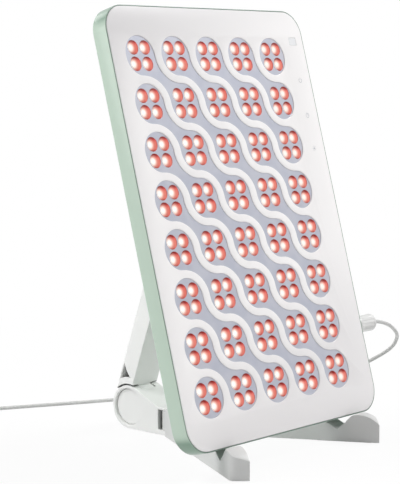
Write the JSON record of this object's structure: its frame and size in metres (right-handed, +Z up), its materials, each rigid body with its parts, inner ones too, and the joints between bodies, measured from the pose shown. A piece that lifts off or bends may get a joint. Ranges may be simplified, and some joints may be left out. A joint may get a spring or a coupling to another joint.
{
  "type": "light therapy lamp",
  "caption": "Slim upright red light therapy panel with wavy rows of round lenses, side touch keys, a folding easel stand and a plug-in supply lead.",
  "frame": {"origin": "on the table under the lamp, midway between its sides and midway between the toe tips and the back of the hub", "axes": "+Z up, +X to the right of someone who faces the lenses, +Y from the lenses towards the stand"},
  "size_m": [0.426, 0.4717, 0.4107],
  "materials": {
    "sage_shell": "satin sage green moulding",
    "front_white": "glossy white moulding",
    "lens_red": "clear coral red lens moulding",
    "board_white": "white solder mask",
    "board_green": "green solder mask",
    "heat_aluminium": "bare",
    "stand_white": "satin white moulding",
    "pin_steel": "bright zinc plate",
    "display_glass": "smoked",
    "socket_black": "fine matt",
    "pad_rubber": "matt pale grey",
    "cord_grey": "soft pale PVC",
    "supply_white": "satin white"
  },
  "bodies": {
    "panel": {"side_frame": "sage_shell", "front_plate": "front_white", "lens_sheet": "lens_red", "led_board": "board_white", "heat_spreader": "heat_aluminium", "rear_cover": "sage_shell", "touch_board": "board_green", "display_window": "display_glass", "driver_board": "board_green", "dc_socket": "socket_black", "inner_lead": "socket_black", "hinge_bracket": "stand_white", "cover_screw_1": "pin_steel", "cover_screw_2": "pin_steel", "cover_screw_3": "pin_steel", "cover_screw_4": "pin_steel", "cover_screw_5": "pin_steel", "cover_screw_6": "pin_steel", "bracket_screw_1": "pin_steel", "bracket_screw_2": "pin_steel", "bracket_screw_3": "pin_steel", "bracket_screw_4": "pin_steel", "top_hinge_pin": "pin_steel", "supply_lead": "cord_grey", "lead_coil": "cord_grey", "plug_body": "supply_white", "plug_tip": "pin_steel", "adapter_body": "supply_white", "adapter_neck": "supply_white", "adapter_blade_left": "pin_steel", "adapter_blade_right": "pin_steel"},
    "strut": {"strut": "stand_white", "top_washer_left": "pin_steel", "top_washer_right": "pin_steel"},
    "base": {"hub": "stand_white", "hub_foot_pad": "pad_rubber", "hinge_pin": "pin_steel", "friction_washer_left": "pin_steel", "friction_washer_right": "pin_steel", "end_cap_left": "stand_white", "end_cap_right": "stand_white", "leg_pin_left": "pin_steel", "leg_pin_right": "pin_steel"},
    "left_leg": {"leg_left": "stand_white", "foot_pad_left": "pad_rubber"},
    "right_leg": {"leg_right": "stand_white", "foot_pad_right": "pad_rubber"}
  },
  "joints": [
    {"name": "strut_hinge", "type": "hinge", "parent": "panel", "child": "strut", "pos_m": [0, 0.01371, 0.30095], "axis": [1, 0, 0], "range_deg": [0, 42]},
    {"name": "base_hinge", "type": "hinge", "parent": "strut", "child": "base", "pos_m": [0, 0.1005, 0.0223], "axis": [1, 0, 0], "range_deg": [0, 12]},
    {"name": "left_leg_swing", "type": "hinge", "parent": "base", "child": "left_leg", "pos_m": [-0.0092, 0.052, 0], "axis": [0, 0, 1], "range_deg": [0, 28.7]},
    {"name": "right_leg_swing", "type": "hinge", "parent": "base", "child": "right_leg", "pos_m": [0.0092, 0.052, 0], "axis": [0, 0, 1], "range_deg": [-28.7, 0]}
  ]
}
